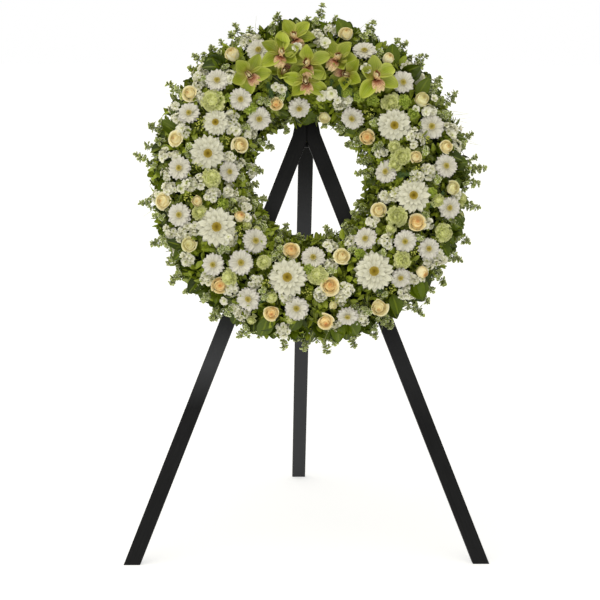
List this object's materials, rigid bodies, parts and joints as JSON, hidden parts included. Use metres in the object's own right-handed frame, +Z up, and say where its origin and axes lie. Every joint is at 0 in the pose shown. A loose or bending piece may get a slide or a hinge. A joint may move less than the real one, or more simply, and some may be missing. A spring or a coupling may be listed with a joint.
{
  "type": "funeral wreath",
  "caption": "Round funeral wreath of white, cream and pale green flowers with mixed greenery, hung on a folding black wooden easel.",
  "frame": {"origin": "on the floor, in the middle of the opened easel's length and width", "axes": "+Z up; -Y towards a person facing the wreath; +X to that person's right; the rear leg stands at +Y"},
  "size_m": [0.947, 0.9466, 1.4072],
  "materials": {
    "black_painted_wood": "satin",
    "zinc_plated_steel": "satin",
    "green_plastic": "satin",
    "wet_floral_foam": "matte",
    "mixed_greenery": "matte",
    "white_petals": "matte",
    "orchid_petals": "satin",
    "rose_petals": "matte"
  },
  "bodies": {
    "front_frame": {"front_leg_left": "black_painted_wood", "front_leg_right": "black_painted_wood", "head_block": "black_painted_wood", "wreath_hook": "zinc_plated_steel", "hinge_leaf_block": "zinc_plated_steel", "hinge_pin": "zinc_plated_steel", "block_screw_1": "zinc_plated_steel", "block_screw_2": "zinc_plated_steel", "block_screw_3": "zinc_plated_steel", "block_screw_4": "zinc_plated_steel", "block_leaf_screw_1": "zinc_plated_steel", "block_leaf_screw_2": "zinc_plated_steel", "hook_screw_1": "zinc_plated_steel", "hook_screw_2": "zinc_plated_steel", "ring_tray": "green_plastic", "foam_ring": "wet_floral_foam", "greenery_section_1": "mixed_greenery", "greenery_section_2": "mixed_greenery", "greenery_section_3": "mixed_greenery", "greenery_section_4": "mixed_greenery", "greenery_section_5": "mixed_greenery", "greenery_section_6": "mixed_greenery", "greenery_section_7": "mixed_greenery", "greenery_section_8": "mixed_greenery", "gerbera_1": "white_petals", "gerbera_2": "white_petals", "gerbera_3": "white_petals", "gerbera_4": "white_petals", "gerbera_5": "white_petals", "gerbera_6": "white_petals", "gerbera_7": "white_petals", "orchid_1": "orchid_petals", "orchid_2": "orchid_petals", "orchid_3": "orchid_petals", "orchid_4": "orchid_petals", "orchid_5": "orchid_petals", "orchid_6": "orchid_petals", "mini_gerbera_1": "white_petals", "mini_gerbera_2": "white_petals", "mini_gerbera_3": "white_petals", "mini_gerbera_4": "white_petals", "mini_gerbera_5": "white_petals", "mini_gerbera_6": "white_petals", "mini_gerbera_7": "white_petals", "mini_gerbera_8": "white_petals", "mini_gerbera_9": "white_petals", "mini_gerbera_10": "white_petals", "mini_gerbera_11": "white_petals", "mini_gerbera_12": "white_petals", "mini_gerbera_13": "white_petals", "rose_1": "rose_petals", "rose_2": "rose_petals", "rose_3": "rose_petals", "rose_4": "rose_petals", "rose_5": "rose_petals"},
    "rear_leg_body": {"rear_leg": "black_painted_wood", "hinge_leaf_leg": "zinc_plated_steel", "leg_leaf_screw_1": "zinc_plated_steel", "leg_leaf_screw_2": "zinc_plated_steel"}
  },
  "joints": [
    {"name": "rear_leg_fold", "type": "hinge", "parent": "front_frame", "child": "rear_leg_body", "pos_m": [0, -0.19977, 1.11275], "axis": [-1, 0, 0], "range_deg": [0, 40]}
  ]
}
